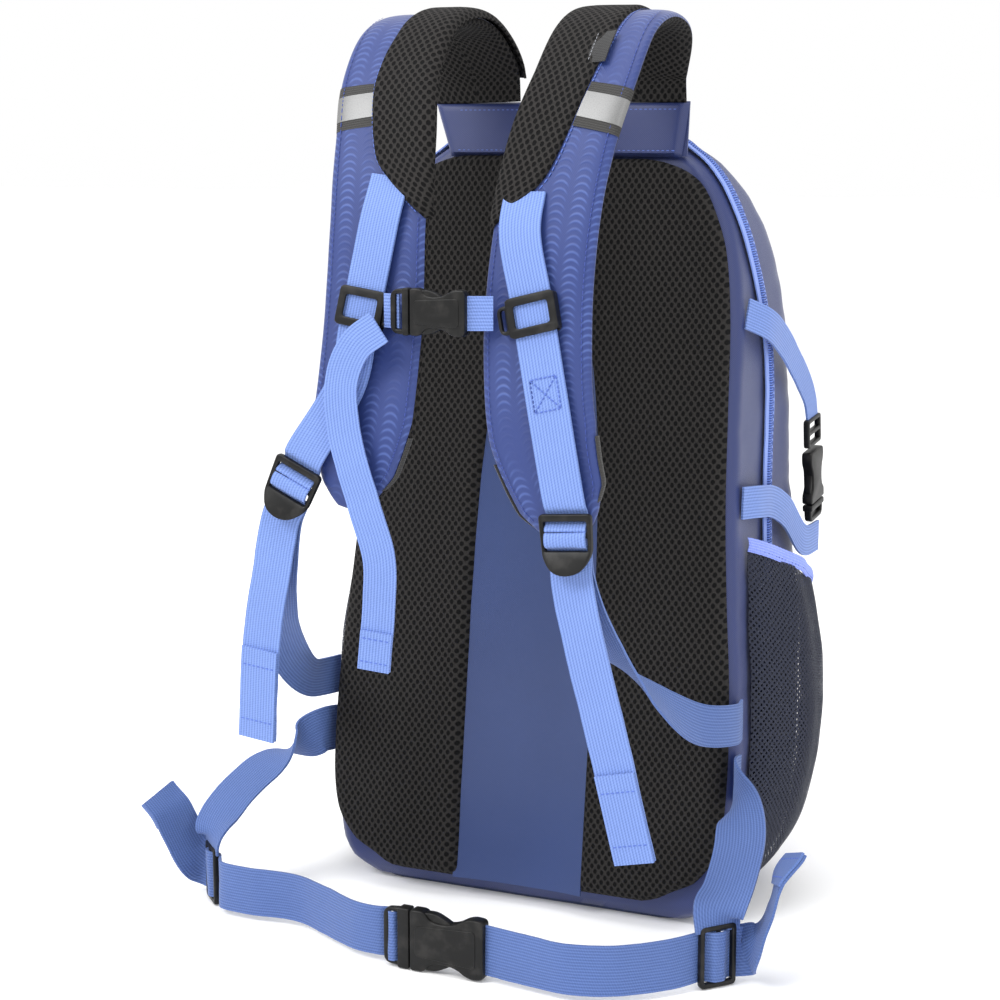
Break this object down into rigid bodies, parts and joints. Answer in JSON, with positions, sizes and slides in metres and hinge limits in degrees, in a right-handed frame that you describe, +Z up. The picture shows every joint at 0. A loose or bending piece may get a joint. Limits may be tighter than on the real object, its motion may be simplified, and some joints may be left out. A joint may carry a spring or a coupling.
{
  "type": "daypack",
  "caption": "Blue hiking day pack with a padded mesh back, curved shoulder straps, sternum strap, webbing hip belt, side mesh pockets and a zipped front.",
  "frame": {"origin": "middle of the flat underside of the base, on the floor", "axes": "+Z up the bag; the harness (shoulder strap) side faces -Y; the wearer's left is +X"},
  "size_m": [0.4297, 0.3482, 0.5567],
  "materials": {
    "side_twill": "satin woven",
    "base_cloth": "matte woven",
    "air_mesh": "matte spacer mesh",
    "strap_twill": "satin woven, embossed",
    "reflective_tape": "retroreflective",
    "pocket_mesh": "open net",
    "elastic_binding": "matte ribbed",
    "zip_tape": "matte woven",
    "zip_metal": "semi-gloss",
    "woven_label": "matte woven",
    "lining": "matte",
    "buckle_plastic": "matte moulded",
    "webbing": "matte ribbed"
  },
  "bodies": {
    "bag": {"rear_shell": "side_twill", "base_sheet": "base_cloth", "back_padding": "air_mesh", "back_channel": "strap_twill", "yoke": "side_twill", "lower_webbing_left": "webbing", "lower_webbing_right": "webbing", "belt_wing_left": "webbing", "belt_wing_right": "webbing", "side_pocket_left": "pocket_mesh", "pocket_elastic_left": "elastic_binding", "side_pocket_right": "pocket_mesh", "pocket_elastic_right": "elastic_binding", "side_socket_left": "buckle_plastic", "side_strap_upper_left": "webbing", "side_strap_lower_left": "webbing", "side_socket_right": "buckle_plastic", "side_strap_upper_right": "webbing", "side_strap_lower_right": "webbing", "zip_tape_rear": "zip_tape", "inner_sleeve": "lining"},
    "front_panel": {"front_shell": "side_twill", "zip_tape_front": "zip_tape", "front_pocket": "side_twill", "front_zip_tape": "zip_tape"},
    "main_zip_slider": {"main_zip_slider": "zip_metal"},
    "main_zip_pull": {"main_zip_pull": "zip_metal"},
    "front_zip_slider": {"front_zip_slider": "zip_metal"},
    "front_zip_pull": {"front_zip_pull": "zip_metal"},
    "haul_loop": {"haul_loop": "webbing"},
    "strap_left": {"strap_pad_left": "strap_twill", "reflective_band_left": "reflective_tape", "strap_webbing_left": "webbing", "woven_tag": "woven_label"},
    "strap_right": {"strap_pad_right": "strap_twill", "reflective_band_right": "reflective_tape", "strap_webbing_right": "webbing"},
    "ladder_lock_left": {"ladder_lock_left": "buckle_plastic", "strap_tail_left": "webbing"},
    "ladder_lock_right": {"ladder_lock_right": "buckle_plastic", "strap_tail_right": "webbing"},
    "sternum_left": {"sternum_slider_left": "buckle_plastic", "sternum_webbing_left": "webbing", "sternum_socket": "buckle_plastic"},
    "sternum_right": {"sternum_slider_right": "buckle_plastic", "sternum_tail": "webbing"},
    "sternum_plug": {"sternum_plug": "buckle_plastic", "sternum_webbing_right": "webbing"},
    "hip_belt": {"belt_webbing_left": "webbing", "belt_webbing_right": "webbing", "belt_socket": "buckle_plastic", "belt_tail_left": "webbing", "belt_tail_right": "webbing"},
    "tri_glide_left": {"tri_glide_left": "buckle_plastic"},
    "tri_glide_right": {"tri_glide_right": "buckle_plastic"},
    "belt_plug": {"belt_plug": "buckle_plastic"},
    "side_plug_left": {"side_plug_left": "buckle_plastic"},
    "side_plug_right": {"side_plug_right": "buckle_plastic"},
    "side_adjuster_left": {"side_adjuster_left": "buckle_plastic"},
    "side_adjuster_right": {"side_adjuster_right": "buckle_plastic"}
  },
  "joints": [
    {"name": "front_panel_hinge", "type": "hinge", "parent": "bag", "child": "front_panel", "pos_m": [0, 0.1112, 0.2051], "axis": [-1, 0, 0], "range_deg": [0, 95]},
    {"name": "main_zip_run", "type": "slide", "parent": "bag", "child": "main_zip_slider", "axis": [1, 0, 0], "range_m": [0, 0.092]},
    {"name": "main_zip_pull_hinge", "type": "hinge", "parent": "main_zip_slider", "child": "main_zip_pull", "pos_m": [-0.0406, -0.0045, 0.4852], "axis": [0, -1, 0], "range_deg": [0, 110]},
    {"name": "front_zip_run", "type": "slide", "parent": "front_panel", "child": "front_zip_slider", "axis": [1, 0, 0], "range_m": [0, 0.124]},
    {"name": "front_zip_pull_hinge", "type": "hinge", "parent": "front_zip_slider", "child": "front_zip_pull", "pos_m": [-0.0566, 0.10101, 0.36121], "axis": [0, -0.2321, 0.9727], "range_deg": [0, 110]},
    {"name": "haul_loop_hinge", "type": "hinge", "parent": "bag", "child": "haul_loop", "pos_m": [0.002, -0.0221, 0.505], "axis": [1, 0, 0], "range_deg": [-24, 50]},
    {"name": "strap_left_hinge", "type": "hinge", "parent": "bag", "child": "strap_left", "pos_m": [0, -0.02248, 0.5048], "axis": [-1, 0, 0], "range_deg": [-12, 25], "deforming": ["lower_webbing_left"]},
    {"name": "strap_right_hinge", "type": "hinge", "parent": "bag", "child": "strap_right", "pos_m": [0, -0.02248, 0.5048], "axis": [-1, 0, 0], "range_deg": [-12, 25], "deforming": ["lower_webbing_right"]},
    {"name": "ladder_lock_left_tilt", "type": "hinge", "parent": "strap_left", "child": "ladder_lock_left", "pos_m": [0.082, -0.2, 0.275], "axis": [-0.9968, 0, -0.0797], "range_deg": [0, 30], "deforming": ["lower_webbing_left"]},
    {"name": "ladder_lock_right_tilt", "type": "hinge", "parent": "strap_right", "child": "ladder_lock_right", "pos_m": [-0.088, -0.2, 0.292], "axis": [-0.9062, 0, 0.4229], "range_deg": [0, 30], "deforming": ["lower_webbing_right"]},
    {"name": "sternum_left_slide", "type": "slide", "parent": "strap_left", "child": "sternum_left", "axis": [-0.2438, 0.1537, 0.9576], "range_m": [-0.012, 0.01], "deforming": ["sternum_webbing_right"]},
    {"name": "sternum_right_slide", "type": "slide", "parent": "strap_right", "child": "sternum_right", "axis": [0.1425, 0.1679, 0.9755], "range_m": [-0.012, 0.01], "deforming": ["sternum_webbing_right"]},
    {"name": "sternum_release", "type": "slide", "parent": "sternum_left", "child": "sternum_plug", "axis": [-1, 0, 0], "range_m": [0, 0.022], "deforming": ["sternum_webbing_right"]},
    {"name": "hip_belt_hinge", "type": "hinge", "parent": "bag", "child": "hip_belt", "pos_m": [0, -0.0655, 0.096], "axis": [-1, 0, 0], "range_deg": [0, 48], "deforming": ["belt_wing_left", "belt_wing_right"]},
    {"name": "tri_glide_left_slide", "type": "slide", "parent": "hip_belt", "child": "tri_glide_left", "axis": [-0.6247, -0.7809, 0], "range_m": [0, 0.02], "deforming": ["belt_webbing_left"]},
    {"name": "tri_glide_right_slide", "type": "slide", "parent": "hip_belt", "child": "tri_glide_right", "axis": [0.7071, -0.7071, 0], "range_m": [0, 0.02], "deforming": ["belt_webbing_right"]},
    {"name": "belt_release", "type": "slide", "parent": "hip_belt", "child": "belt_plug", "axis": [-1, 0, 0], "range_m": [0, 0.03], "deforming": ["belt_webbing_right"]},
    {"name": "side_release_left", "type": "slide", "parent": "bag", "child": "side_plug_left", "axis": [0, 0.1191, -0.9929], "range_m": [0, 0.02], "deforming": ["side_strap_lower_left"]},
    {"name": "side_adjuster_left_slide", "type": "slide", "parent": "bag", "child": "side_adjuster_left", "axis": [0, -0.1191, 0.9929], "range_m": [0, 0.02], "deforming": ["side_strap_upper_left"]},
    {"name": "side_release_right", "type": "slide", "parent": "bag", "child": "side_plug_right", "axis": [0, 0.1191, -0.9929], "range_m": [0, 0.02], "deforming": ["side_strap_lower_right"]},
    {"name": "side_adjuster_right_slide", "type": "slide", "parent": "bag", "child": "side_adjuster_right", "axis": [0, -0.1191, 0.9929], "range_m": [0, 0.02], "deforming": ["side_strap_upper_right"]}
  ],
  "couplings": [
    {"joint": "strap_right_hinge", "follows": "strap_left_hinge", "ratio": 1},
    {"joint": "sternum_right_slide", "follows": "sternum_left_slide", "ratio": 1}
  ]
}
